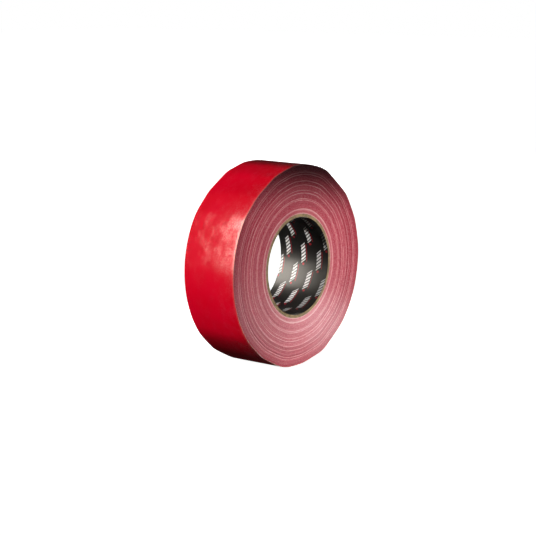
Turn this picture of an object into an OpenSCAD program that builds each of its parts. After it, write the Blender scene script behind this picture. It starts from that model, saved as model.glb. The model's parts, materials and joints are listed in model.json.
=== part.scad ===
// Roll of cloth tape on a spiral-wound paper core.
// The roll stands on its rim: its axis lies along Y, and the origin is the centre of the bore.
// Angles round the roll are measured from +X towards +Z, as seen from the front (-Y).

/* [Tape] */
// Width of the tape, which is also the length of the core
tape_w = 48; // [12:1:100]
// Turns of tape on the core
turns = 134; // [20:1:200]
// Thickness of the glossy film on the outside of the tape
film_t = 0.09; // [0.05:0.01:0.2]
// Thickness of the woven cloth inside the tape
cloth_t = 0.11; // [0.05:0.01:0.3]
// Thickness of the adhesive on the inside of the tape
adhesive_t = 0.09; // [0.05:0.01:0.3]
// Depth of the flat that the roll has taken where it stands on its rim
rest_flat = 0.8; // [0.2:0.1:1.5]

/* [Core] */
// Diameter of the bore, a 3 inch core
bore_d = 76.2; // [25.4:0.1:152.4]
// Thickness of the printed paper that lines the bore
liner_t = 0.2; // [0.1:0.05:0.5]
// Thickness of each of the four plies of grey-brown paperboard
ply_t = 0.6; // [0.3:0.05:1.2]
// Width of the paper strips that the core is wound from
strip_w = 100; // [60:1:150]
// Gap where the edges of a wound strip meet
seam_gap = 0.3; // [0.1:0.05:1]

/* [Free end] */
// Angle round the roll of the cut end of the tape
end_angle = -11; // [-40:1:40]
// Arc of tape that each of the four segments of the free end covers, in degrees
segment_arc = 12; // [6:1:15]
// Gap between the free end and the turn below it
lift_gap = 0.02; // [0.01:0.01:0.1]

/* [Hidden] */

// Every round face is exact, and this only sets how finely it is drawn.
$fn = 240;

film_red = "#d80b27";
cloth_white = "#eadfd6";
adhesive_cream = "#d9c9ae";
edge_rose = "#b4606b";
kraft_brown = "#8d7a60";
liner_black = "#1b1917";

plies = 4;
segments = 4;
tape_t = film_t + cloth_t + adhesive_t;
bore_r = bore_d / 2;
core_r = bore_r + liner_t + plies * ply_t;
roll_r = core_r + turns * tape_t;

// A turn is two half circles. Their centres lie on the line through the cut end, a quarter of the
// tape's thickness to either side of the bore's centre, so that the radius grows by one thickness
// in each turn and the turns lie on each other with no gap.
first_half = [-tape_t / 4, roll_r - 3 * tape_t / 4];
second_half = [tape_t / 4, roll_r - tape_t / 4];
free_arc = segments * segment_arc;

// Height of the bore's centre above what the roll stands on.
rest_h = first_half[1] - rest_flat;

// Depth below the tape's outer face at which each layer begins, and its thickness.
film = [0, film_t];
cloth = [film_t, cloth_t];
adhesive = [film_t + cloth_t, adhesive_t];
free_adhesive = [film_t + cloth_t, adhesive_t - lift_gap];

// Seams of the plies start a share of a turn apart, so that no two lie on each other.
seam_start = 95;
seam_step = 70;
slit_slices = 36;

// How far a shape that cuts reaches past what it cuts: across a thin ply, and along the roll.
ply_margin = 0.05;
cut_margin = 1;

// Turns a shape whose axis is Z, so that its axis is Y and its X and Y are the roll's X and Z.
module upright() {
    rotate([90, 0, 0])
        children();
}

// Part of a ring with its axis on Z, from one angle to another.
module ring_arc(r_in, r_out, from, to, width) {
    rotate([0, 0, from])
        rotate_extrude(angle = to - from)
            translate([r_in, -width / 2])
                square([r_out - r_in, width]);
}

// One layer of the tape along part of a half circle. half gives its centre and radius, layer gives
// the depth and thickness, and the angles run from the cut end, anticlockwise.
module tape_arc(half, layer, from, to) {
    r_out = half[1] - layer[0];
    rotate([0, 0, end_angle])
        translate([half[0], 0, 0])
            ring_arc(r_out - layer[1], r_out, from, to, tape_w);
}

// Everything that lies deeper in the roll than the given depth below the tape's outer face. Every
// turn that the flat reaches lies straight along it.
module wound_disc(depth) {
    difference() {
        union() {
            tape_arc(second_half, [depth, second_half[1] - depth], 0, 180);
            tape_arc(first_half, [depth, first_half[1] - depth], 180, 360);
        }
        translate([-roll_r, -rest_h + depth - roll_r, -tape_w / 2 - cut_margin])
            cube([2 * roll_r, roll_r, tape_w + 2 * cut_margin]);
    }
}

// A tube of paper from one ply, with the slit where the edges of its strip meet. The slit starts
// near seam_angle on the front face, and winds on round the roll towards the back.
module wound_ply(r_in, thickness, seam_angle) {
    mean_d = 2 * r_in + thickness;
    wind_angle = asin(strip_w / (PI * mean_d));
    slit_length = tape_w + cut_margin;
    slit_turn = 360 * slit_length / (PI * mean_d * tan(wind_angle));
    difference() {
        cylinder(h = tape_w, r = r_in + thickness, center = true);
        cylinder(h = tape_w + cut_margin, r = r_in, center = true);
        rotate([0, 0, seam_angle + slit_turn])
            linear_extrude(height = slit_length, center = true, twist = slit_turn, slices = slit_slices, $fn = 4)
                translate([r_in - ply_margin, -seam_gap / 2])
                    square([thickness + 2 * ply_margin, seam_gap]);
    }
}

// The printed paper that shows inside the bore.
module core_liner() {
    color(liner_black)
        upright()
            wound_ply(bore_r, liner_t, seam_start);
}

// One of the paperboard plies, counted from the bore outwards.
module core_ply(number) {
    color(kraft_brown)
        upright()
            wound_ply(bore_r + liner_t + (number - 1) * ply_t, ply_t, seam_start + number * seam_step);
}

// All the turns under the last one, which their adhesive bonds into a single body.
module tape_windings() {
    color(edge_rose)
        upright()
            difference() {
                wound_disc(tape_t);
                cylinder(h = tape_w + cut_margin, r = core_r, center = true);
            }
}

// One layer of the last turn, from where it leaves the windings round to where the free end starts.
module outer_turn(layer, layer_color) {
    color(layer_color)
        upright()
            difference() {
                wound_disc(layer[0]);
                wound_disc(layer[0] + layer[1]);
                rotate([0, 0, end_angle])
                    translate([second_half[0], 0, 0])
                        ring_arc(core_r, roll_r + cut_margin, 0, free_arc, tape_w + cut_margin);
            }
}

// One layer of a segment of the free end. Segment 1 is at the root and the last one has the cut end.
module free_end(layer, number, layer_color) {
    from = (segments - number) * segment_arc;
    color(layer_color)
        upright()
            tape_arc(second_half, layer, from, from + segment_arc);
}

core_liner();
core_ply(1);  // core_ply_1
core_ply(2);  // core_ply_2
core_ply(3);  // core_ply_3
core_ply(4);  // core_ply_4
tape_windings();
outer_turn(adhesive, adhesive_cream);  // outer_turn_adhesive
outer_turn(cloth, cloth_white);  // outer_turn_cloth
outer_turn(film, film_red);  // outer_turn_film
free_end(free_adhesive, 1, adhesive_cream);  // free_end_adhesive_1
free_end(free_adhesive, 2, adhesive_cream);  // free_end_adhesive_2
free_end(free_adhesive, 3, adhesive_cream);  // free_end_adhesive_3
free_end(free_adhesive, 4, adhesive_cream);  // free_end_adhesive_4
free_end(cloth, 1, cloth_white);  // free_end_cloth_1
free_end(cloth, 2, cloth_white);  // free_end_cloth_2
free_end(cloth, 3, cloth_white);  // free_end_cloth_3
free_end(cloth, 4, cloth_white);  // free_end_cloth_4
free_end(film, 1, film_red);  // free_end_film_1
free_end(film, 2, film_red);  // free_end_film_2
free_end(film, 3, film_red);  // free_end_film_3
free_end(film, 4, film_red);  // free_end_film_4
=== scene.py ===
"""A roll of red cloth tape on a spiral-wound paper core, standing on its rim."""

import json
import logging
import math
import random
from collections.abc import Mapping, Sequence
from dataclasses import dataclass, field
from enum import Enum
from typing import Any, Union

import bmesh
import bpy
from mathutils import Matrix, Vector, noise


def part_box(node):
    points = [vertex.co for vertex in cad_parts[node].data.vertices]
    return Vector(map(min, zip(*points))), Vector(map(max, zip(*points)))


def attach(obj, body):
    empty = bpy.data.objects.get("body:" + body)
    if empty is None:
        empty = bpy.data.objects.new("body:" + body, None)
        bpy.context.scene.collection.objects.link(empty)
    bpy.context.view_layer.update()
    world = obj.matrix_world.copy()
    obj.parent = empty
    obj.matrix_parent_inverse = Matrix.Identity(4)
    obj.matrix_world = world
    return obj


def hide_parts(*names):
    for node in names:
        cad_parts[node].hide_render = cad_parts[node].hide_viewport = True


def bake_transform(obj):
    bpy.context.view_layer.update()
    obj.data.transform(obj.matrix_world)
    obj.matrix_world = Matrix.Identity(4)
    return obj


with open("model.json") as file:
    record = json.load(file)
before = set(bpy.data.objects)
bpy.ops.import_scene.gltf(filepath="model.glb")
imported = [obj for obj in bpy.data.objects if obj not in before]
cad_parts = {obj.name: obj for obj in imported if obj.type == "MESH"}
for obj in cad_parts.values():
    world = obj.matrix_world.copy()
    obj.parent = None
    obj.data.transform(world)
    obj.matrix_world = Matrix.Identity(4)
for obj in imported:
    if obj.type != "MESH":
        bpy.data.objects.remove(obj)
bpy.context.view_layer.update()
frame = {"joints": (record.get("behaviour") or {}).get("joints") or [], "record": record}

log = logging.getLogger("tape_roll")

MM = 0.001
TURN = 2 * math.pi

FLAT_MAP = "flat"
PALLOR = "pallor"
FILM_LINE = "film_line"
THREAD_PITCH = 0.62 * MM


# ---------------------------------------------------------------------------------------------
# Shader maths
# ---------------------------------------------------------------------------------------------

Colour = tuple[float, float, float]
Point = tuple[float, float, float]
WHITE: Colour = (1.0, 1.0, 1.0)
MIDDLE: Point = (0.0, 0.0, 0.0)
Number = Union[float, "Signal"]


def linear(red: int, green: int, blue: int) -> Colour:
    """Turns a colour as a screen shows it into the linear values that a shader takes.

    Args:
        red: Red, from 0 to 255.
        green: Green, from 0 to 255.
        blue: Blue, from 0 to 255.

    Returns:
        The three linear values, from 0 to 1.
    """
    def one(level: int) -> float:
        """Linear value of one level."""
        share = level / 255
        return share / 12.92 if share <= 0.04045 else ((share + 0.055) / 1.055) ** 2.4

    return one(red), one(green), one(blue)


class Signal:
    """A value that varies over a surface, which the ordinary operators combine."""

    def __init__(self, nodes: "Nodes", socket: bpy.types.NodeSocket) -> None:
        """Wraps an output socket of one of a tree's nodes."""
        self.nodes = nodes
        self.socket = socket

    def maths(self, operation: str, *others: Number, flip: bool = False) -> "Signal":
        """Adds a Math node that combines this value with others.

        Args:
            operation: The Math node's operation.
            others: The node's other values.
            flip: True to give this value last.

        Returns:
            The node's result.
        """
        values = [self, *others]
        if flip:
            values.reverse()
        return self.nodes.add("ShaderNodeMath", dict(enumerate(values)), operation=operation)

    def __add__(self, other: Number) -> "Signal":
        """Adds a value."""
        return self.maths("ADD", other)

    def __sub__(self, other: Number) -> "Signal":
        """Takes a value away."""
        return self.maths("SUBTRACT", other)

    def __rsub__(self, other: Number) -> "Signal":
        """Takes this value away from another."""
        return self.maths("SUBTRACT", other, flip=True)

    def __mul__(self, other: Number) -> "Signal":
        """Multiplies by a value."""
        return self.maths("MULTIPLY", other)

    def __truediv__(self, other: Number) -> "Signal":
        """Divides by a value."""
        return self.maths("DIVIDE", other)

    def __pow__(self, other: Number) -> "Signal":
        """Raises to a power."""
        return self.maths("POWER", other)

    def __lt__(self, other: Number) -> "Signal":
        """1 where this value is under the other, else 0."""
        return self.maths("LESS_THAN", other)

    def __gt__(self, other: Number) -> "Signal":
        """1 where this value is over the other, else 0."""
        return self.maths("GREATER_THAN", other)

    def __abs__(self) -> "Signal":
        """The size of this value without its sign."""
        return self.maths("ABSOLUTE")

    __radd__ = __add__
    __rmul__ = __mul__

    def floor(self) -> "Signal":
        """The whole number under this value."""
        return self.maths("FLOOR")

    def fract(self) -> "Signal":
        """What is left of this value over the whole number under it."""
        return self.maths("FRACT")

    def sine(self) -> "Signal":
        """The sine of this value, in radians."""
        return self.maths("SINE")

    def ramp(self, low: float, high: float, start: float = 0.0, end: float = 1.0) -> "Signal":
        """Maps this value smoothly from one range to another, and holds it at the ends.

        Args:
            low: The value that gives start.
            high: The value that gives end.
            start: The result at and below low.
            end: The result at and above high.

        Returns:
            The mapped value.
        """
        sockets = {"Value": self, "From Min": low, "From Max": high, "To Min": start, "To Max": end}
        return self.nodes.add("ShaderNodeMapRange", sockets, interpolation_type="SMOOTHSTEP")


@dataclass(frozen=True)
class Grain:
    """The size and the texture of a cloudy noise.

    Attributes:
        scale: Number of clouds to a metre.
        detail: How many finer layers are added.
        roughness: How strong the finer layers are.
    """

    scale: float
    detail: float = 2.0
    roughness: float = 0.5


class Nodes:
    """A tree of shader nodes."""

    def __init__(self, tree: bpy.types.NodeTree) -> None:
        """Empties a tree, to be filled again."""
        self.tree = tree
        self.tree.nodes.clear()

    def add(self, kind: str, sockets: Mapping[Any, Any], output: Any = 0, **settings: Any) -> Signal:
        """Adds a node.

        Args:
            kind: The node's type.
            sockets: Value or signal of each input, by the input's name or number.
            output: Name or number of the output wanted.
            settings: The node's own settings, which are set first.

        Returns:
            The output, as a signal.
        """
        node = self.tree.nodes.new(kind)
        for key, value in settings.items():
            setattr(node, key, value)
        for key, value in sockets.items():
            if isinstance(value, Signal):
                self.tree.links.new(value.socket, node.inputs[key])
            elif isinstance(value, tuple) and node.inputs[key].type == "RGBA":
                node.inputs[key].default_value = (*value, 1)
            else:
                node.inputs[key].default_value = value
        return Signal(self, node.outputs[output] if node.outputs else None)


class Paint(Nodes):
    """One material's nodes, from its coordinates to its shader."""

    def __init__(self, name: str) -> None:
        """Starts an empty material."""
        self.material = bpy.data.materials.new(name)
        self.material.use_nodes = True
        super().__init__(self.material.node_tree)

    def place(self) -> Signal:
        """The point of the surface, in the object's own metres."""
        return self.add("ShaderNodeTexCoord", {}, "Object")

    def axes(self, point: Signal) -> tuple[Signal, Signal, Signal]:
        """The three parts of a point or of a map's coordinates."""
        return tuple(self.add("ShaderNodeSeparateXYZ", {0: point}, axis) for axis in range(3))

    def flat_map(self) -> tuple[Signal, Signal]:
        """How far a point is along its strip and across it, in metres, as the strip lay flat."""
        along, across, _ = self.axes(self.add("ShaderNodeUVMap", {}, uv_map=FLAT_MAP))
        return along, across

    def threads(self) -> tuple[Signal, Signal]:
        """Two waves with a crest to each thread of the cloth, one along the strip, one across."""
        along, across = self.flat_map()
        turns = TURN / THREAD_PITCH
        return (along * turns).sine(), (across * turns).sine()

    def attribute(self, name: str) -> Signal:
        """A number that the piece's own points hold."""
        return self.add("ShaderNodeAttribute", {}, "Fac", attribute_name=name)

    def stretched(self, point: Signal, factors: Point) -> Signal:
        """A point with each axis multiplied by a number of its own."""
        return self.add("ShaderNodeVectorMath", {0: point, 1: factors}, operation="MULTIPLY")

    def joined(self, *parts: Number) -> Signal:
        """A point made of up to three values."""
        return self.add("ShaderNodeCombineXYZ", dict(enumerate(parts)))

    def noise(self, point: Signal, grain: Grain) -> Signal:
        """Adds cloudy noise.

        Args:
            point: The point that it is read at.
            grain: Its size and texture.

        Returns:
            The noise, from 0 to 1.
        """
        sockets = {
            "Vector": point,
            "Scale": grain.scale,
            "Detail": grain.detail,
            "Roughness": grain.roughness,
        }
        return self.add("ShaderNodeTexNoise", sockets, "Fac")

    def mix(self, share: Number, first: Any, second: Any) -> Signal:
        """A colour between two others.

        Args:
            share: How much of the second, from 0 to 1.
            first: The colour at 0.
            second: The colour at 1.

        Returns:
            The mixed colour.
        """
        return self.add("ShaderNodeMix", {0: share, 6: first, 7: second}, 2, data_type="RGBA")

    def bump(self, height: Signal, depth: float, strength: float = 1.0) -> Signal:
        """A normal that shows a height of that depth, in metres."""
        sockets = {"Height": height, "Distance": depth, "Strength": strength}
        return self.add("ShaderNodeBump", sockets)

    def finish(self, **sockets: Any) -> bpy.types.Material:
        """Ends the material in a Principled shader, whose sockets are given with _ for a space."""
        named = {key.replace("_", " "): value for key, value in sockets.items()}
        shader = self.add("ShaderNodeBsdfPrincipled", named, "BSDF")
        self.add("ShaderNodeOutputMaterial", {"Surface": shader})
        return self.material


# ---------------------------------------------------------------------------------------------
# Finishes
# ---------------------------------------------------------------------------------------------

@dataclass(frozen=True)
class FilmFinish:
    """Red film, rubbed shiny in patches, with the weave of the cloth showing through it.

    Attributes:
        front: Place of the tape's front edge along the roll's axis.
        back: Place of its back edge.
        fray: How far from the cut end the threads stand out of the film.
        edge_width: Width of the pale line along the front edge, whose colour is a painted highlight
            over the pale cut threads.
    """

    front: float
    back: float
    red: Colour = linear(231, 0, 40)
    deep_red: Colour = linear(225, 0, 33)
    # Pale rose of the front edge: a painted highlight where the edge catches the light, over the
    # pale cut threads.
    pale_edge_highlight: Colour = linear(250, 130, 120)
    thread: Colour = linear(232, 222, 212)
    fray: float = 1.2 * MM
    fray_share: float = 0.6
    edge_width: float = 0.9 * MM
    edge_gloss: float = 0.6
    weave_depth: float = 0.012 * MM
    tint: Grain = Grain(40.0, 3.0)
    fine: Grain = Grain(1500.0, 3.0, 0.7)
    speckle: Grain = Grain(900.0, 4.0, 0.7)
    smudges: Grain = Grain(1 / (15 * MM), 5.0, 0.66)
    streaks: Grain = Grain(150.0, 4.0, 0.6)
    streak_stretch: Point = (0.7, 1.0, 0.7)
    smudge_share: float = 0.55
    front_gloss: float = 0.27
    front_mottle: float = 0.85
    all_over_mottle: float = 0.2
    least_gloss: float = 0.005

    def rubbed(self, paint: Paint, place: Signal, across: Signal) -> Signal:
        """How shiny the film is rubbed, which grows in patches towards the front edge.

        Args:
            paint: The material's nodes.
            place: The point of the surface.
            across: Its place along the roll's axis.

        Returns:
            The weight of the gloss.
        """
        smudges = paint.noise(place, self.smudges)
        streaks = paint.noise(paint.stretched(place, self.streak_stretch), self.streaks)
        mottle = (smudges * self.smudge_share + streaks * (1 - self.smudge_share)).ramp(0.38, 0.64)
        toward_front = (across - self.back) / (self.front - self.back)
        near_front = toward_front ** 4.0 * (mottle * self.front_mottle + self.front_gloss)
        gloss = near_front + mottle * mottle * self.all_over_mottle + self.least_gloss
        return gloss * paint.noise(place, self.speckle).ramp(0.34, 0.66, 0.4, 1.6)

    def material(self) -> bpy.types.Material:
        """Builds the finish.

        Returns:
            The material.
        """
        paint = Paint("red_film")
        place = paint.place()
        _, across, _ = paint.axes(place)
        along, _ = paint.flat_map()
        weft, warp = paint.threads()
        fine = paint.noise(place, self.fine)
        weave = (warp * 0.5 + weft * 0.5 + fine * 1.6) * 0.4
        edge = across.ramp(self.front + self.edge_width, self.front + self.edge_width * 2, 1.0, 0.0)
        colour = paint.mix(paint.noise(place, self.tint).ramp(0.3, 0.7), self.red, self.deep_red)
        frayed = along < fine * self.fray
        colour = paint.mix(frayed * self.fray_share, colour, self.thread)
        # Paints a highlight in pale rose along the front edge, over the pale cut threads.
        colour = paint.mix(edge * fine.ramp(0.35, 0.65, 0.0, 0.35), colour, self.pale_edge_highlight)
        return paint.finish(
            Base_Color=colour,
            Roughness=fine.ramp(0.2, 0.8, 0.5, 0.65),
            Specular_IOR_Level=0.03,
            Coat_Weight=self.rubbed(paint, place, across) + edge * self.edge_gloss,
            Coat_Roughness=0.33,
            Normal=paint.bump(weave, self.weave_depth),
        )


@dataclass(frozen=True)
class WoundEdgeFinish:
    """The slit edges of all the turns: red film, pale cloth and dusky adhesive in turn.

    Attributes:
        shade_start_radius: Distance from the roll's axis where the painted shade starts.
        shade_full_radius: Distance where the painted shade is darkest.
    """

    shade_start_radius: float = 62 * MM
    shade_full_radius: float = 79 * MM
    dusky: Colour = linear(166, 58, 72)
    rose: Colour = linear(200, 92, 104)
    pale: Colour = linear(246, 196, 194)
    film: Colour = linear(168, 34, 52)
    # Dark dusky red, painted as shade near the rim at the top and the left, where the face's light
    # falls off.
    painted_rim_shade: Colour = linear(120, 52, 66)
    film_share: float = 0.45
    cloud_share: float = 0.2
    speckle_share: float = 0.35
    speckle_depth: float = 0.03 * MM
    speckle: Grain = Grain(1500.0, 2.0, 0.6)
    cloud: Grain = Grain(45.0, 3.0)

    def material(self) -> bpy.types.Material:
        """Builds the finish.

        Returns:
            The material.
        """
        paint = Paint("wound_edge")
        place = paint.place()
        pallor = paint.attribute(PALLOR)
        side, _, up = paint.axes(place)
        speckle = paint.noise(place, self.speckle)
        cloud = paint.noise(place, self.cloud)
        body = paint.mix(pallor.ramp(0.0, 0.55), self.dusky, self.rose)
        body = paint.mix(pallor.ramp(0.55, 1.0), body, self.pale)
        body = paint.mix(paint.attribute(FILM_LINE) * self.film_share, body, self.film)
        radius = (side * side + up * up) ** 0.5
        # Paints shade near the rim, darkest towards the top and the left, where the face's light
        # falls off.
        toward_rim = radius.ramp(self.shade_start_radius, self.shade_full_radius)
        rim_shade_mask = toward_rim * (up - side).ramp(-30 * MM, 60 * MM)
        body = paint.mix(rim_shade_mask * cloud.ramp(0.2, 0.7, 0.1, 0.45), body, self.painted_rim_shade)
        body = paint.mix(cloud.ramp(0.35, 0.75) * self.cloud_share, body, self.dusky)
        body = paint.mix(speckle.ramp(0.5, 0.75) * self.speckle_share, body, self.pale)
        return paint.finish(
            Base_Color=body,
            Roughness=speckle.ramp(0.3, 0.7, 0.24, 0.34),
            Specular_IOR_Level=0.36,
            Normal=paint.bump(speckle, self.speckle_depth, 0.6),
        )


@dataclass(frozen=True)
class KraftFinish:
    """Grey-brown paperboard with loose fibres."""

    brown: Colour = linear(174, 149, 109)
    grey: Colour = linear(132, 115, 86)
    straw: Colour = linear(212, 190, 152)
    lumps: Grain = Grain(320.0, 3.0, 0.6)
    fibres: Grain = Grain(1400.0, 4.0, 0.7)
    fibre_stretch: Point = (1.0, 0.35, 1.0)
    fibre_depth: float = 0.12 * MM

    def material(self) -> bpy.types.Material:
        """Builds the finish.

        Returns:
            The material.
        """
        paint = Paint("kraft_board")
        place = paint.place()
        lumps = paint.noise(place, self.lumps)
        fibres = paint.noise(paint.stretched(place, self.fibre_stretch), self.fibres)
        colour = paint.mix(lumps.ramp(0.35, 0.65), self.brown, self.grey)
        colour = paint.mix(fibres.ramp(0.55, 0.75), colour, self.straw)
        return paint.finish(
            Base_Color=colour,
            Roughness=fibres.ramp(0.2, 0.8, 0.8, 0.95),
            Normal=paint.bump(fibres + lumps, self.fibre_depth, 0.8),
        )


@dataclass(frozen=True)
class PrintedLinerFinish:
    """Shiny black paper, printed in rows with groups of slanted bars.

    Attributes:
        row_pitch: Distance between two rows, along the roll's axis.
        first_row: Place of the middle of the first row.
        period: Distance between two groups in a row, round the bore.
        skew: How far each row is shifted round the bore from the one before.
        first_group: Where the middle of the first group lies.
        slant: How far a bar leans for each unit of its height.
        bar_share: How much of the distance between two bars is printed.
        dot_offset: How far the middle of a group lies from its red dot.
        rule_offset: How far the middle of a group lies from its red rule.
    """

    black: Colour = linear(16, 15, 14)
    white: Colour = linear(245, 243, 239)
    red: Colour = linear(176, 22, 40)
    row_pitch: float = 7.6 * MM
    first_row: float = -22.5 * MM
    period: float = 39.1 * MM
    skew: float = 2.4 * MM
    first_group: float = -19.0 * MM
    group_length: float = 14.1 * MM
    bars: int = 5
    bar_height: float = 4.2 * MM
    bar_share: float = 0.64
    slant: float = 0.8
    dot_offset: float = 9.3 * MM
    dot_radius: float = 1.0 * MM
    rule_offset: float = 3.1 * MM
    rule_height: float = 0.5 * MM
    wear: Grain = Grain(900.0, 3.0, 0.6)
    cockle: Grain = Grain(150.0, 2.0)
    cockle_stretch: Point = (1.0, 0.5, 1.0)
    cockle_depth: float = 0.10 * MM

    def group_place(self, along: Signal, across: Signal) -> tuple[Signal, Signal]:
        """Where a point lies as seen from the middle of the nearest group.

        Args:
            along: How far the point is round the bore.
            across: Its place along the roll's axis.

        Returns:
            Its distance from the middle along the row, and across it.
        """
        row = ((across - self.first_row) / self.row_pitch + 0.5).floor()
        height = across - self.first_row - row * self.row_pitch
        stagger = (row * 0.5).fract() * self.period
        shift = along - self.first_group - row * self.skew - stagger
        start = (shift / self.period + 0.5).fract() * self.period - self.period / 2
        return start, height

    def material(self) -> bpy.types.Material:
        """Builds the finish.

        Returns:
            The material.
        """
        paint = Paint("printed_liner")
        place = paint.place()
        start, height = self.group_place(*paint.flat_map())
        half = self.group_length / 2
        leaning = start + height * self.slant
        inside = (abs(leaning) < half) * (abs(height) < self.bar_height / 2)
        pitch = self.group_length / self.bars
        bar = (abs((leaning / pitch).fract() - 0.5) < self.bar_share / 2) * inside
        rule = (abs(height + self.rule_offset) < self.rule_height / 2) * (abs(start) < half)
        beside = start + self.dot_offset
        dot = (beside * beside + height * height) ** 0.5 < self.dot_radius
        wear = paint.noise(place, self.wear)
        _, depth, _ = paint.axes(place)
        # The print is worn in patches, and fades towards the front of the bore as painted shade,
        # where less light reaches in.
        ink_wear_and_shade = wear.ramp(0.25, 0.45, 0.75, 1.0) * depth.ramp(-22 * MM, 4 * MM, 0.4, 1.0)
        colour = paint.mix(rule * ink_wear_and_shade, self.black, self.red)
        colour = paint.mix(dot * ink_wear_and_shade, colour, self.red)
        colour = paint.mix(bar * ink_wear_and_shade, colour, self.white)
        cockle = paint.noise(paint.stretched(place, self.cockle_stretch), self.cockle)
        return paint.finish(
            Base_Color=colour,
            Roughness=wear.ramp(0.3, 0.7, 0.45, 0.55),
            Specular_IOR_Level=0.15,
            Coat_Weight=depth.ramp(-20 * MM, 20 * MM, 0.03, 1.0) * wear.ramp(0.2, 0.7, 0.75, 1.0),
            Coat_Roughness=0.36,
            Normal=paint.bump(cockle + wear * 0.1, self.cockle_depth, 0.5),
        )


@dataclass(frozen=True)
class ClothFinish:
    """White cotton threads, one over and one under."""

    white: Colour = linear(232, 222, 212)
    shade: Colour = linear(190, 172, 160)
    fluff: Grain = Grain(3000.0, 3.0, 0.7)
    thread_share: float = 0.7
    thread_depth: float = 0.05 * MM

    def material(self) -> bpy.types.Material:
        """Builds the finish.

        Returns:
            The material.
        """
        paint = Paint("woven_cloth")
        weft, warp = paint.threads()
        weave = warp * weft
        fluff = paint.noise(paint.place(), self.fluff)
        light = weave.ramp(-0.6, 0.6) * self.thread_share + fluff * (1 - self.thread_share)
        return paint.finish(
            Base_Color=paint.mix(light, self.shade, self.white),
            Roughness=fluff.ramp(0.2, 0.8, 0.75, 0.95),
            Sheen_Weight=0.2,
            Normal=paint.bump(weave + fluff, self.thread_depth, 0.7),
        )


@dataclass(frozen=True)
class AdhesiveFinish:
    """Cream rubber adhesive, pressed into the cloth so that the threads show under it."""

    cream: Colour = linear(222, 204, 168)
    amber: Colour = linear(196, 168, 122)
    blotches: Grain = Grain(180.0, 4.0, 0.6)
    streaks: Grain = Grain(900.0, 3.0)
    streak_stretch: float = 0.12
    blotch_share: float = 0.6
    streak_share: float = 0.3
    thread_depth: float = 0.06 * MM

    def material(self) -> bpy.types.Material:
        """Builds the finish.

        Returns:
            The material.
        """
        paint = Paint("rubber_adhesive")
        along, across = paint.flat_map()
        weft, warp = paint.threads()
        weave = warp * weft
        blotches = paint.noise(paint.place(), self.blotches)
        streaks = paint.noise(paint.joined(along * self.streak_stretch, across, 0.0), self.streaks)
        aged = blotches.ramp(0.3, 0.7) * self.blotch_share + streaks * self.streak_share
        return paint.finish(
            Base_Color=paint.mix(aged, self.cream, self.amber),
            Roughness=blotches.ramp(0.3, 0.7, 0.28, 0.5),
            Normal=paint.bump(weave * 0.6 + blotches + streaks, self.thread_depth, 0.7),
        )


# ---------------------------------------------------------------------------------------------
# The shape of the roll
# ---------------------------------------------------------------------------------------------


@dataclass(frozen=True)
class Flat:
    """A stretch of the rim that is pressed nearly straight.

    Attributes:
        angle: Its middle, in degrees from +X towards +Z.
        depth: How far its middle is pressed in.
        reach: How far from its middle it counts, in degrees.
    """

    angle: float
    depth: float
    reach: float = 60.0

    def at(self, angle: float, radius: float) -> float:
        """How far the rim stands outside the flat at an angle in radians; under 0 if inside."""
        away = (math.degrees(angle) - self.angle + 180) % 360 - 180
        if abs(away) > self.reach:
            return -radius
        return radius - (radius - self.depth) / math.cos(math.radians(away))


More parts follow.
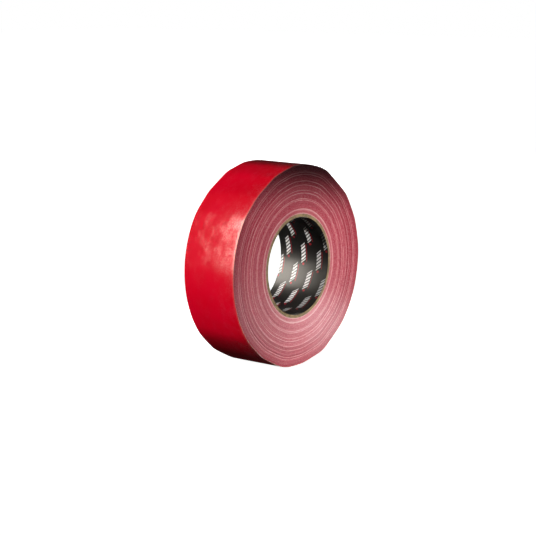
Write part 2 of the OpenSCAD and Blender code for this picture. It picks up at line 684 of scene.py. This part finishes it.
@dataclass(frozen=True)
class RollForm:
    """Where every point of the wound tape lies.

    The turns are half circles about two centres, a quarter of the tape's thickness to either side
    of the bore's centre, on the line through the cut end. Angles are turned back from the cut end,
    anticlockwise as seen from the front, and each whole turn lies one thickness deeper.

    Attributes:
        segment: Angle of one length of the free end.
        rest_height: Height of the bore's centre over the floor.
        flats: The flattened stretches of the rim.
        corner: How softly one flat turns into the next.
        fading: How fast the flats fade towards the core, as a power.
        standing: Sine of the angle below the centre where the floor's own flat starts to count.
        wave_depth: Depth of the long soft waves in the tape.
        edge_drop: How far the tape's long edges turn down.
        edge_reach: Distance from the edge where they start to.
    """

    width: float
    bore_radius: float
    core_radius: float
    rim_radius: float
    thickness: float
    end_angle: float
    segment: float
    rest_height: float
    flats: tuple[Flat, ...] = (
        Flat(12, 0.3 * MM),
        Flat(30, 0.45 * MM),
        Flat(51, 1.5 * MM),
        Flat(77, 0.4 * MM),
        Flat(91, 0.8 * MM),
        Flat(105, 1.5 * MM),
        Flat(121, 2.0 * MM),
        Flat(134, 1.2 * MM),
        Flat(228, 0.6 * MM),
        Flat(243, 1.0 * MM),
        Flat(281, 1.2 * MM),
        Flat(305, 0.9 * MM),
        Flat(352, 0.2 * MM),
    )
    corner: float = 0.42 * MM
    fading: float = 1.4
    standing: float = 0.7
    wave_depth: float = 0.05 * MM
    wave_length: float = 17 * MM
    edge_drop: float = 0.02 * MM
    edge_reach: float = 1.0 * MM

    @classmethod
    def from_frame(cls) -> "RollForm":
        """Reads the roll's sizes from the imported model.

        Returns:
            The roll's shape.
        """
        hinges = [Vector(joint["pos_m"]) for joint in frame["joints"]]
        angles = [math.atan2(hinge.z, hinge.x) for hinge in hinges]
        segment = (angles[0] - angles[-1]) / (len(angles) - 1)
        film_low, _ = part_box("outer_turn_film")
        wound_low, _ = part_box("tape_windings")
        core_low, core_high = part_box("core_ply_4")
        thickness = wound_low[0] - film_low[0]
        last = hinges[-1]
        rim = math.hypot(last.x, last.z) + thickness / 4 * (1 - math.cos(segment))
        mounts = {mount["name"]: mount for mount in frame["record"]["mounts"]}
        return cls(
            width=core_high[1] - core_low[1],
            bore_radius=mounts["core_bore"]["dims"]["r_mm"] * MM,
            core_radius=core_high[0],
            rim_radius=rim,
            thickness=thickness,
            end_angle=angles[-1] - segment,
            segment=segment,
            rest_height=-film_low[2],
        )

    @property
    def turns(self) -> int:
        """Number of turns of tape on the core."""
        return round((self.rim_radius - self.core_radius) / self.thickness)

    def squash(self, radius: float, angle: float, across: float) -> float:
        """How far a point of the roll is pressed in from the true spiral.

        Args:
            radius: Its distance from the bore's centre.
            angle: Its angle round the roll, from +X towards +Z.
            across: Its place along the roll's axis.

        Returns:
            The distance that it moves towards the centre.
        """
        rim = self.rim_radius - self.thickness
        share = (radius - self.core_radius) / (rim - self.core_radius)
        share = min(max(share, 0.0), 1.0) ** self.fading
        inward = [flat.at(angle, rim) for flat in self.flats]
        down = -math.sin(angle)
        if down > self.standing:
            inward.append(rim + self.thickness / 4 - self.rest_height / down)
        pressed = self.corner * math.log(1 + sum(math.exp(depth / self.corner) for depth in inward))
        reach = self.rim_radius / self.wave_length
        spot = Vector((math.cos(angle) * reach, across / self.wave_length, math.sin(angle) * reach))
        wave = (0.5 + 0.5 * noise.noise(spot)) * self.wave_depth
        return share * (pressed + wave)

    def point(self, turned: float, depth: float, across: float) -> Vector:
        """The place of a point of the tape.

        Args:
            turned: Angle back from the cut end, in radians.
            depth: Distance below the tape's outer face.
            across: Place along the roll's axis.

        Returns:
            The point, in metres.
        """
        turn, angle = divmod(turned, TURN)
        side = 1 if angle <= math.pi else -1
        offset = side * self.thickness / 4
        radius = self.rim_radius - (2 - side) * self.thickness / 4 - turn * self.thickness - depth
        heading = self.end_angle + angle
        x = offset * math.cos(self.end_angle) + radius * math.cos(heading)
        z = offset * math.sin(self.end_angle) + radius * math.sin(heading)
        distance = max(math.hypot(x, z), self.core_radius)
        bearing = math.atan2(z, x)
        distance -= self.squash(distance, bearing, across)
        return Vector((distance * math.cos(bearing), across, distance * math.sin(bearing)))

    def edge_curl(self, across: float) -> float:
        """How far the tape's long edges turn down, at a place along the roll's axis."""
        gap = self.width / 2 - abs(across)
        return self.edge_drop * max(0.0, 1 - gap / self.edge_reach) ** 2


@dataclass
class Workshop:
    """All the finishes, each built once for the roll's own sizes."""

    form: RollForm
    film: bpy.types.Material = field(init=False)
    wound_edge: bpy.types.Material = field(init=False)
    kraft: bpy.types.Material = field(init=False)
    liner: bpy.types.Material = field(init=False)
    cloth: bpy.types.Material = field(init=False)
    adhesive: bpy.types.Material = field(init=False)

    def __post_init__(self) -> None:
        """Builds the finishes."""
        half = self.form.width / 2
        self.film = FilmFinish(front=-half, back=half).material()
        self.wound_edge = WoundEdgeFinish().material()
        self.kraft = KraftFinish().material()
        self.liner = PrintedLinerFinish().material()
        self.cloth = ClothFinish().material()
        self.adhesive = AdhesiveFinish().material()


def face_outwards(mesh: bmesh.types.BMesh) -> None:
    """Turns every face of a closed mesh outwards, on thin curled shells too."""
    bmesh.ops.recalc_face_normals(mesh, faces=mesh.faces)
    if mesh.calc_volume(signed=True) < 0:
        bmesh.ops.reverse_faces(mesh, faces=mesh.faces)


def sharpen(mesh: bmesh.types.BMesh, degrees: float = 40.0) -> None:
    """Smooths a mesh's faces and keeps its edges sharp where they turn more than an angle."""
    for face in mesh.faces:
        face.smooth = True
    for edge in mesh.edges:
        if len(edge.link_faces) == 2 and edge.calc_face_angle(0.0) > math.radians(degrees):
            edge.smooth = False


def make_piece(
    name: str, mesh: bmesh.types.BMesh, *finishes: bpy.types.Material
) -> bpy.types.Object:
    """Turns a finished mesh into a piece of the roll.

    Args:
        name: The piece's name.
        mesh: The mesh, which is freed.
        finishes: The materials of its faces, in order.

    Returns:
        The piece, at the origin.
    """
    data = bpy.data.meshes.new(name)
    mesh.to_mesh(data)
    mesh.free()
    for finish in finishes:
        data.materials.append(finish)
    piece = bpy.data.objects.new(name, data)
    bpy.context.scene.collection.objects.link(piece)
    return piece


def report(piece: bpy.types.Object) -> None:
    """Logs a piece and how many faces it has."""
    log.info("%s: %d faces", piece.name, len(piece.data.polygons))


# ---------------------------------------------------------------------------------------------
# Sheets, cut flat and then wound
# ---------------------------------------------------------------------------------------------


@dataclass(frozen=True)
class Slab:
    """A thin sheet of even thickness, cut flat before it is wound.

    Attributes:
        length: Its length, along X.
        width: Its width, along Y.
        thickness: Its thickness, along Z, with the outer face at 0 and the inner face below.
        steps: Divisions of its length.
        rows: Divisions of its width.
        rounding: How far its long edges are rounded.
        crowd: How much the rows draw together towards the long edges, from 0 to 1.
        fold: Only the sheet's own edges turn more than this, in radians.
        slack: A distance too small to count.
    """

    length: float
    width: float
    thickness: float
    steps: int
    rows: int
    rounding: float
    crowd: float = 0.9
    fold: float = 1.0
    slack: float = 0.0001 * MM

    def mesh(self) -> bmesh.types.BMesh:
        """Builds the flat sheet, with its flat map.

        Returns:
            The mesh, closed and with its faces outwards.
        """
        mesh = bmesh.new()
        bmesh.ops.create_grid(mesh, x_segments=self.steps, y_segments=self.rows, size=0.5)
        for vertex in mesh.verts:
            place = 2 * vertex.co.y
            vertex.co.y = (place + self.crowd * 0.5 * (place - place ** 3)) / 2
        bmesh.ops.scale(mesh, vec=(self.length, self.width, 1), verts=mesh.verts)
        bmesh.ops.translate(mesh, vec=(self.length / 2, 0, 0), verts=mesh.verts)
        outer = list(mesh.faces)
        made = bmesh.ops.extrude_face_region(mesh, geom=outer, use_keep_orig=True)
        inner = [item for item in made["geom"] if isinstance(item, bmesh.types.BMVert)]
        bmesh.ops.translate(mesh, vec=(0, 0, -self.thickness), verts=inner)
        face_outwards(mesh)
        self.round_long_edges(mesh)
        self.lay_out(mesh)
        return mesh

    def round_long_edges(self, mesh: bmesh.types.BMesh) -> None:
        """Rounds the four long edges of the flat sheet.

        Args:
            mesh: The sheet's mesh.
        """
        limit = self.width / 2 - self.slack
        edges = [
            edge
            for edge in mesh.edges
            if edge.calc_face_angle(0.0) > self.fold
            and all(abs(vertex.co.y) > limit for vertex in edge.verts)
            and abs(edge.verts[0].co.x - edge.verts[1].co.x) > self.slack
        ]
        bmesh.ops.bevel(
            mesh,
            geom=edges,
            affect="EDGES",
            offset=self.rounding,
            segments=2,
            profile=0.5,
            material=-1,
        )

    def lay_out(self, mesh: bmesh.types.BMesh) -> None:
        """Gives the sheet a map of where each point was when it lay flat, in metres."""
        flat = mesh.loops.layers.uv.new(FLAT_MAP)
        for face in mesh.faces:
            for loop in face.loops:
                loop[flat].uv = loop.vert.co.xy


@dataclass
class TapeLayer:
    """One layer of the tape: a slab that follows the turns of the roll.

    Attributes:
        form: The shape of the roll.
        depth: Distance from the tape's outer face to the layer's own outer face.
        thickness: The layer's thickness.
        finish: Its material.
        slot: The record's material slot; not used.
        rows: Divisions of the tape's width.
        degrees_per_step: Angle of one division of its length.
        least_steps: Divisions of its length that even a short stretch has.
        rounding: How far its long edges are rounded.
    """

    form: RollForm
    depth: float
    thickness: float
    finish: bpy.types.Material
    slot: str
    rows: int = 28
    degrees_per_step: float = 1.0
    least_steps: int = 16
    rounding: float = 0.02 * MM

    def wind(self, name: str, start: float, end: float) -> bpy.types.Object:
        """Makes the stretch of the layer between two angles turned back from the cut end.

        Args:
            name: The piece's name.
            start: Angle nearest the cut end, in radians.
            end: Angle furthest from it.

        Returns:
            The piece.
        """
        form = self.form
        slab = Slab(
            length=(end - start) * form.rim_radius,
            width=form.width,
            thickness=self.thickness,
            steps=max(self.least_steps, round(math.degrees(end - start) / self.degrees_per_step)),
            rows=self.rows,
            rounding=self.rounding,
        )
        mesh = slab.mesh()
        flat = mesh.loops.layers.uv[FLAT_MAP]
        for face in mesh.faces:
            for loop in face.loops:
                loop[flat].uv.x += start * form.rim_radius
        for vertex in mesh.verts:
            turned = start + vertex.co.x / form.rim_radius
            depth = self.depth - vertex.co.z + form.edge_curl(vertex.co.y)
            vertex.co = form.point(turned, depth, vertex.co.y)
        face_outwards(mesh)
        sharpen(mesh)
        piece = make_piece(name, mesh, self.finish)
        return piece


# ---------------------------------------------------------------------------------------------
# The sub-assemblies
# ---------------------------------------------------------------------------------------------


@dataclass(frozen=True)
class Seam:
    """The helix along which the two edges of a wound strip meet.

    Attributes:
        start: Angle of the seam where the strip starts, in radians.
        front: Where the strip starts along the roll's axis.
        lean: Angle that the seam turns for each metre along the axis.
        gap: Angle left open between the two edges.
    """

    start: float
    front: float
    lean: float
    gap: float

    def angle(self, along: float, across: float) -> float:
        """Angle round the tube of a point of the strip, from its angle along and its place."""
        return self.start + (across - self.front) * self.lean + self.gap / 2 + along


@dataclass
class Core:
    """The spiral-wound paper core: a printed liner and four plies of paperboard.

    Attributes:
        form: The shape of the roll.
        workshop: The finishes.
        strip_width: Width of the strips that the core is wound from.
        seam_gap: Distance between the two edges of a strip.
        slit_overrun: How far in front of the core the strips would start.
        first_seam: Angle of the liner's seam at the front, in degrees.
        seam_step: Angle from each ply's seam to the next one's, in degrees.
        ragged: How deep the cut edges are frayed.
        ragged_reach: How far from the cut edges the fraying goes.
        ragged_size: Size of the tufts.
        steps: Divisions round the core.
        rows: Divisions of its width.
        liner_rounding: How far the liner's cut edges are rounded.
        board_rounding: How far the plies' cut edges are rounded.
    """

    form: RollForm
    workshop: Workshop
    strip_width: float = 100 * MM
    seam_gap: float = 0.3 * MM
    slit_overrun: float = 0.5 * MM
    first_seam: float = 95.0
    seam_step: float = 70.0
    ragged: float = 0.16 * MM
    ragged_reach: float = 0.6 * MM
    ragged_size: float = 0.9 * MM
    steps: int = 256
    rows: int = 16
    liner_rounding: float = 0.05 * MM
    board_rounding: float = 0.12 * MM
    plies: tuple[str, ...] = ("core_ply_1", "core_ply_2", "core_ply_3", "core_ply_4")

    def build(self) -> None:
        """Makes every ply and stands it for its node."""
        inner = self.form.bore_radius
        for number, node in enumerate(("core_liner", *self.plies)):
            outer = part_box(node)[1][0]
            lining = number == 0
            piece = self.ply(node, inner, outer, self.first_seam + number * self.seam_step, lining)
            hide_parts(node)
            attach(piece, "roll")
            report(piece)
            inner = outer

    def ply(
        self, node: str, inner: float, outer: float, seam_angle: float, lining: bool
    ) -> bpy.types.Object:
        """Winds one strip of paper into a tube whose edges meet along a helix.

        Args:
            node: The node that it stands for.
            inner: Its inner radius.
            outer: Its outer radius.
            seam_angle: Angle of the seam at the front face, in degrees.
            lining: True for the printed liner.

        Returns:
            The piece.
        """
        form = self.form
        middle = (inner + outer) / 2
        wind = math.asin(self.strip_width / (TURN * middle))
        seam = Seam(
            start=math.radians(seam_angle),
            front=-form.width / 2 - self.slit_overrun,
            lean=1 / (middle * math.tan(wind)),
            gap=self.seam_gap / middle,
        )
        slab = Slab(
            length=TURN - seam.gap,
            width=form.width,
            thickness=outer - inner,
            steps=self.steps,
            rows=self.rows,
            rounding=self.liner_rounding if lining else self.board_rounding,
        )
        mesh = slab.mesh()
        flat = mesh.loops.layers.uv[FLAT_MAP]
        for face in mesh.faces:
            for loop in face.loops:
                along, across = loop.vert.co.xy
                loop[flat].uv = (seam.angle(along, across) * inner, across)
        for vertex in mesh.verts:
            along, across, depth = vertex.co
            angle = seam.angle(along, across)
            radius = outer + depth
            across -= self.frayed(angle, across, radius)
            vertex.co = (radius * math.cos(angle), across, radius * math.sin(angle))
        face_outwards(mesh)
        sharpen(mesh)
        finish = self.workshop.liner if lining else self.workshop.kraft
        return make_piece(f"{node}_paper", mesh, finish)

    def frayed(self, angle: float, across: float, radius: float) -> float:
        """How far a point is drawn in from the nearer cut edge.

        Args:
            angle: Its angle round the core, in radians.
            across: Its place along the roll's axis.
            radius: Its distance from the axis.

        Returns:
            The distance, with the sign of across.
        """
        near_edge = max(0.0, 1 - (self.form.width / 2 - abs(across)) / self.ragged_reach)
        spot = Vector((math.cos(angle), across / self.form.width, math.sin(angle)))
        tuft = 0.5 + 0.5 * noise.noise(spot * radius / self.ragged_size)
        return math.copysign(tuft * self.ragged * near_edge, across)


@dataclass
class Windings:
    """All the turns under the last one, as one body with a ridge for every turn on both faces.

    Attributes:
        form: The shape of the roll.
        workshop: The finishes.
        steps: Divisions of each turn.
        ridge: How far the middle of a turn's edge stands over its two sides.
        stagger: How far the turns stand out of line at most.
        drift: How much the paleness and the line may change from a turn to the next.
        tone: Paleness of the plain turns: the least, how much the drift adds, and the scatter.
        pale_radii: Distance of each pale ring from the axis, in millimetres.
        ring_tone: Paleness of a pale ring.
        beside_tone: Least paleness of the turns beside it.
        core_turns: Number of paler turns next to the core.
        core_tone: What they gain: the least, and the scatter.
        fade: How much the paleness changes round a turn.
        fade_length: Length of such a change.
        fade_turn: How much further it has changed in the next turn.
        weld: Points nearer than this become one.
        sliver: Faces narrower than this are taken out.
        seed: Start of the random draws.
        crease: Edges that turn more than this stay sharp, in degrees.
    """

    form: RollForm
    workshop: Workshop
    steps: int = 156
    ridge: float = 0.05 * MM
    stagger: float = 0.16 * MM
    drift: float = 0.3
    tone: tuple[float, float, float] = (0.02, 0.40, 0.14)
    pale_radii: tuple[float, ...] = (44.8, 51.4, 52.6, 57.0, 59.4, 63.2, 66.6, 71.6, 73.5)
    ring_tone: float = 1.1
    beside_tone: float = 0.52
    core_turns: int = 14
    core_tone: tuple[float, float] = (0.15, 0.55)
    fade: float = 0.16
    fade_length: float = 22 * MM
    fade_turn: float = 0.4
    weld: float = 0.01 * MM
    sliver: float = 0.001 * MM
    seed: int = 11
    crease: float = 55.0

    def build(self) -> None:
        """Makes the body and stands it for its node."""
        mesh = bmesh.new()
        pallor = mesh.verts.layers.float.new(PALLOR)
        film_line = mesh.verts.layers.float.new(FILM_LINE)
        levels = self.turn_levels()
        for side in (-1, 1):
            self.face(mesh, side, levels, pallor, film_line)
        self.walls(mesh)
        face_outwards(mesh)
        self.map_walls(mesh)
        sharpen(mesh, self.crease)
        piece = make_piece("wound_turns", mesh, self.workshop.wound_edge, self.workshop.film)
        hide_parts("tape_windings")
        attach(piece, "roll")
        report(piece)

    def turn_levels(self) -> list[tuple[float, float]]:
        """Works out how each turn differs from the next.

        Returns:
            For each turn from the outside, how pale its edge is and how far it stands back.
        """
        form = self.form
        rng = random.Random(self.seed)
        pale = [(form.rim_radius - radius * MM) / form.thickness for radius in self.pale_radii]
        least, gain, scatter = self.tone
        levels = []
        drift = 0.5
        spare = 3
        for turn in range(form.turns + spare):
            drift = min(max(drift + rng.uniform(-self.drift, self.drift), 0.0), 1.0)
            tone = least + gain * drift + rng.uniform(-scatter, scatter)
            if turn > form.turns - self.core_turns:
                tone += self.core_tone[0] + self.core_tone[1] * rng.random()
            nearest = min(abs(turn - ring) for ring in pale)
            if nearest < 0.5:
                tone = self.ring_tone
            elif nearest < 1.5:
                tone = max(tone, self.beside_tone)
            depth = self.stagger * (0.5 * drift + 0.5 * rng.random())
            levels.append((tone, depth))
        return levels

    def face(
        self,
        mesh: bmesh.types.BMesh,
        side: int,
        levels: Sequence[tuple[float, float]],
        pallor: Any,
        film_line: Any,
    ) -> None:
        """Adds one side face, as one long ribbon that is wound into a spiral.

        Args:
            mesh: The mesh that it is added to.
            side: -1 for the front face and 1 for the back.
            levels: Paleness and depth of each turn.
            pallor: The layer that holds how pale a point is.
            film_line: The layer that holds where the film's edge shows.
        """
        form = self.form
        columns = self.steps * (form.turns - 1)
        made = bmesh.ops.create_grid(mesh, x_segments=columns, y_segments=2, size=0.5)
        for vertex in made["verts"]:
            column = round((vertex.co.x + 0.5) * columns)
            row = round((vertex.co.y + 0.5) * 2)
            turn = 1 + column / self.steps
            whole = int(turn)
            share = turn - whole
            tone, back = (
                here * (1 - share) + deeper * share
                for here, deeper in zip(levels[whole], levels[whole + 1])
            )
            between = row != 1
            if between:
                below = int(turn + (1 if row == 2 else 0) - 0.5)
                back = (levels[below][1] + levels[below + 1][1]) / 2 + self.ridge
            across = side * (form.width / 2 - back)
            vertex.co = form.point(turn * TURN, row * form.thickness / 2, across)
            spot = Vector((vertex.co.x, 0, vertex.co.z)) / self.fade_length
            spot.y = turn * self.fade_turn + side
            vertex[pallor] = tone + noise.noise(spot) * self.fade
            vertex[film_line] = 1.0 if between else 0.0
        bmesh.ops.remove_doubles(mesh, verts=made["verts"], dist=self.weld)
        bmesh.ops.dissolve_degenerate(mesh, dist=self.sliver, edges=mesh.edges)

    def walls(self, mesh: bmesh.types.BMesh) -> None:
        """Joins the two faces round the rim and round the core.

        Args:
            mesh: The mesh, with both faces in it.
        """
        middle = (self.form.rim_radius + self.form.core_radius) / 2
        open_edges = [edge for edge in mesh.edges if edge.is_boundary]

        def radius(edge: bmesh.types.BMEdge) -> float:
            """Distance of an edge's first end from the roll's axis."""
            return edge.verts[0].co.xz.length

        for rim in (True, False):
            loop = [edge for edge in open_edges if (radius(edge) > middle) == rim]
            bmesh.ops.bridge_loops(mesh, edges=loop)

    def map_walls(self, mesh: bmesh.types.BMesh) -> None:
        """Gives the rim the finish of the film, and a map that the film's weave follows.

        Args:
            mesh: The closed mesh.
        """
        flat = mesh.loops.layers.uv.new(FLAT_MAP)
        form = self.form
        past_core = form.core_radius + form.thickness * 2
        for face in mesh.faces:
            is_wall = abs(face.normal.y) < 0.5
            if is_wall and face.calc_center_median().xz.length > past_core:
                face.material_index = 1
            for loop in face.loops:
                spot = loop.vert.co
                angle = (math.atan2(spot.z, spot.x) - form.end_angle) % TURN
                loop[flat].uv = (angle * form.rim_radius, spot.y)


class Layer(Enum):
    """The layers of the tape, from the outside in."""

    FILM = "film"
    CLOTH = "cloth"
    ADHESIVE = "adhesive"


@dataclass
class Tape:
    """The last turn of the tape and its free end, each in three layers."""

    form: RollForm
    workshop: Workshop
    layers: dict[Layer, TapeLayer] = field(init=False)

    def __post_init__(self) -> None:
        """Reads each layer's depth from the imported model."""
        lows = [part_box(f"outer_turn_{layer.value}")[0][0] for layer in Layer]
        lows.append(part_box("tape_windings")[0][0])
        finishes = {
            Layer.FILM: self.workshop.film,
            Layer.CLOTH: self.workshop.cloth,
            Layer.ADHESIVE: self.workshop.adhesive,
        }
        self.layers = {}
        for number, layer in enumerate(Layer):
            self.layers[layer] = TapeLayer(
                form=self.form,
                depth=lows[number] - lows[0],
                thickness=lows[number + 1] - lows[number],
                finish=finishes[layer],
                slot=f"tape_{layer.value}",
            )

    def build(self) -> None:
        """Makes the last turn and the free end."""
        segment = self.form.segment
        count = len(frame["joints"])
        for layer, sheet in self.layers.items():
            turn = sheet.wind(f"last_turn_{layer.value}", count * segment, TURN)
            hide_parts(f"outer_turn_{layer.value}")
            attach(turn, "roll")
            report(turn)
            for number in range(1, count + 1):
                self.free_segment(layer, sheet, number)

    def free_segment(self, layer: Layer, sheet: TapeLayer, number: int) -> None:
        """Makes one length of one layer of the free end.

        A length runs from halfway before its hinge to halfway before the next. The first starts at
        its hinge, where the tape leaves the roll, and the last runs on to the cut end.

        Args:
            layer: The layer.
            sheet: The layer's own sizes and finish.
            number: The length, from 1 at the root.
        """
        form = self.form
        count = len(frame["joints"])
        hinge = (count - number + 1) * form.segment
        bent = hinge - form.segment / 2
        root = hinge if number == 1 else hinge + form.segment / 2
        tip = 0.0 if number == count else bent
        piece = sheet.wind(f"free_end_{number}_{layer.value}", tip, root)
        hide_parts(f"free_end_{layer.value}_{number}")
        start, end = form.point(root, 0.0, 0.0), form.point(bent, 0.0, 0.0)
        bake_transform(piece)
        report(piece)


# ---------------------------------------------------------------------------------------------
# The studio
# ---------------------------------------------------------------------------------------------


class Reach(Enum):
    """What a light takes part in."""

    COLOUR = "colour"
    GLOSS = "gloss"


@dataclass(frozen=True)
class SoftBox:
    """A rectangular studio light.

    Attributes:
        name: Its name.
        towards: Direction of the light as seen from what it lights.
        distance: How far away it hangs.
        target: The point that it faces.
        size: Its width and its height.
        watts: Its power.
        reach: What it takes part in: the colour of a surface or its gloss.
        colour: Its colour.
        upright: Direction that its height runs along.
        spread: Angle of its beam, in degrees, as a grid over its face narrows it.
    """

    name: str
    towards: Point
    distance: float
    target: Point
    size: tuple[float, float]
    watts: float
    reach: Reach
    colour: Colour = WHITE
    upright: Point = (0.0, 0.0, 1.0)
    spread: float = 180.0

    def hang(self) -> None:
        """Adds the light to the scene."""
        light = bpy.data.lights.new(self.name, "AREA")
        light.shape = "RECTANGLE"
        light.size, light.size_y = self.size
        light.energy = self.watts
        light.color = self.colour
        light.spread = math.radians(self.spread)
        lamp = bpy.data.objects.new(self.name, light)
        back = Vector(self.towards).normalized()
        side = Vector(self.upright).cross(back).normalized()
        facing = Matrix((side, back.cross(side), back)).transposed().to_4x4()
        place = Vector(self.target) + back * self.distance
        lamp.matrix_world = Matrix.Translation(place) @ facing
        lamp.visible_camera = False
        lamp.visible_diffuse = self.reach is Reach.COLOUR
        lamp.visible_glossy = self.reach is Reach.GLOSS
        bpy.context.scene.collection.objects.link(lamp)


@dataclass
class Studio:
    """The floor, the lights and the camera.

    Attributes:
        form: The shape of the roll.
        camera_place: Where the camera stands. It looks at the middle of the bore.
        lens: The camera's focal length, in millimetres.
        sensor: Width of its sensor, in millimetres.
        shift: How far its picture is shifted, as shares of its width.
        floor_size: Length of the floor's sides.
        floor_glow: How strongly the floor shines, where 1 is white.
        faint: Strength of the room's even light.
    """

    form: RollForm
    camera_place: Point = (-0.947, -0.750, 0.219)
    lens: float = 105.24
    sensor: float = 36.0
    shift: tuple[float, float] = (-0.01247, -0.01016)
    floor_size: float = 12.0
    floor_glow: float = 0.99
    faint: float = 0.04

    def build(self) -> None:
        """Sets up everything round the roll."""
        bpy.context.scene.view_settings.view_transform = "Standard"
        bpy.context.scene.cycles.use_light_tree = False
        self.floor()
        self.world()
        for box in self.soft_boxes():
            box.hang()
        self.camera()

    def soft_boxes(self) -> tuple[SoftBox, ...]:
        """The lights, each with what it is for in its name.

        Returns:
            The lights, to be hung.
        """
        front = -self.form.width / 2
        return (
            SoftBox(
                name="wall_sheen",
                towards=(-0.67, 0.61, 0.43),
                distance=1.2,
                target=MIDDLE,
                size=(0.35, 1.12),
                watts=24.0,
                colour=(0.95, 0.87, 0.77),
                upright=(0.586, 0, 0.810),
                reach=Reach.GLOSS,
            ),
            SoftBox(
                name="wall_beam",
                towards=(-0.70, 0.63, 0.33),
                distance=1.2,
                target=(-0.001, 0, -0.003),
                size=(0.5, 0.140),
                watts=0.255,
                upright=(0.426, 0, 0.904),
                spread=0.9,
                reach=Reach.COLOUR,
            ),
            SoftBox(
                name="face_beam",
                towards=(0.50, -0.80, 0.05),
                distance=1.2,
                target=(0.004, front, -0.025),
                size=(0.175, 0.166),
                watts=0.071,
                upright=(0.22, 0, 0.975),
                spread=2.4,
                reach=Reach.COLOUR,
            ),
            SoftBox(
                name="face_beam_right",
                towards=(0.50, -0.80, 0.05),
                distance=1.2,
                target=(0.052, front, -0.042),
                size=(0.12, 0.160),
                watts=0.026,
                upright=(0.22, 0, 0.975),
                spread=3.0,
                reach=Reach.COLOUR,
            ),
            SoftBox(
                name="far_side_fill",
                towards=(0.92, 0.38, 0.06),
                distance=1.5,
                target=MIDDLE,
                size=(0.8, 0.8),
                watts=9.0,
                reach=Reach.COLOUR,
            ),
            SoftBox(
                name="far_side_sheen",
                towards=(1.0, -0.05, 0.5),
                distance=1.2,
                target=MIDDLE,
                size=(0.4, 0.8),
                watts=9.0,
                reach=Reach.GLOSS,
            ),
            SoftBox(
                name="table_light",
                towards=(0.200, -0.146, -0.052),
                distance=0.25,
                target=(0.031, front, -0.052),
                size=(0.04, 0.04),
                watts=0.096,
                reach=Reach.GLOSS,
            ),
        )

    def floor(self) -> None:
        """Lays a plain white floor, which throws no light on the roll."""
        mesh = bmesh.new()
        bmesh.ops.create_grid(mesh, x_segments=1, y_segments=1, size=self.floor_size / 2)
        bmesh.ops.translate(mesh, vec=(0, 0, -self.form.rest_height), verts=mesh.verts)
        paint = Paint("white_floor")
        patch = paint.noise(paint.place(), Grain(3.0))
        material = paint.finish(
            Base_Color=paint.mix(patch, (0.90, 0.90, 0.90), (0.92, 0.92, 0.92)),
            Roughness=0.9,
            Emission_Color=WHITE,
            Emission_Strength=self.floor_glow,
        )
        material.cycles.emission_sampling = "NONE"
        floor = make_piece("floor", mesh, material)
        floor.visible_diffuse = False
        floor.visible_glossy = False
        floor.visible_shadow = False

    def world(self) -> None:
        """Gives the room a faint even light, and a white backdrop to look at."""
        world = bpy.data.worlds.new("studio")
        bpy.context.scene.world = world
        world.use_nodes = True
        nodes = Nodes(world.node_tree)
        faint = nodes.add("ShaderNodeBackground", {"Strength": self.faint})
        white = nodes.add("ShaderNodeBackground", {"Color": WHITE})
        seen = nodes.add("ShaderNodeLightPath", {}, "Is Camera Ray")
        shown = nodes.add("ShaderNodeMixShader", {0: seen, 1: faint, 2: white})
        nodes.add("ShaderNodeOutputWorld", {"Surface": shown})

    def camera(self) -> None:
        """Places the camera in front of the roll, to its left."""
        data = bpy.data.cameras.new("camera")
        data.lens = self.lens
        data.sensor_width = self.sensor
        data.shift_x, data.shift_y = self.shift
        camera = bpy.data.objects.new("camera", data)
        camera.location = self.camera_place
        ahead = -Vector(self.camera_place)
        camera.rotation_euler = ahead.to_track_quat("-Z", "Y").to_euler()
        bpy.context.scene.collection.objects.link(camera)
        bpy.context.scene.camera = camera


def main() -> None:
    """Builds the roll and the studio, in order."""
    logging.basicConfig(level=logging.INFO, format="%(message)s")
    form = RollForm.from_frame()
    workshop = Workshop(form)
    Studio(form).build()
    Core(form, workshop).build()
    Windings(form, workshop).build()
    Tape(form, workshop).build()


if __name__ == "__main__":
    main()
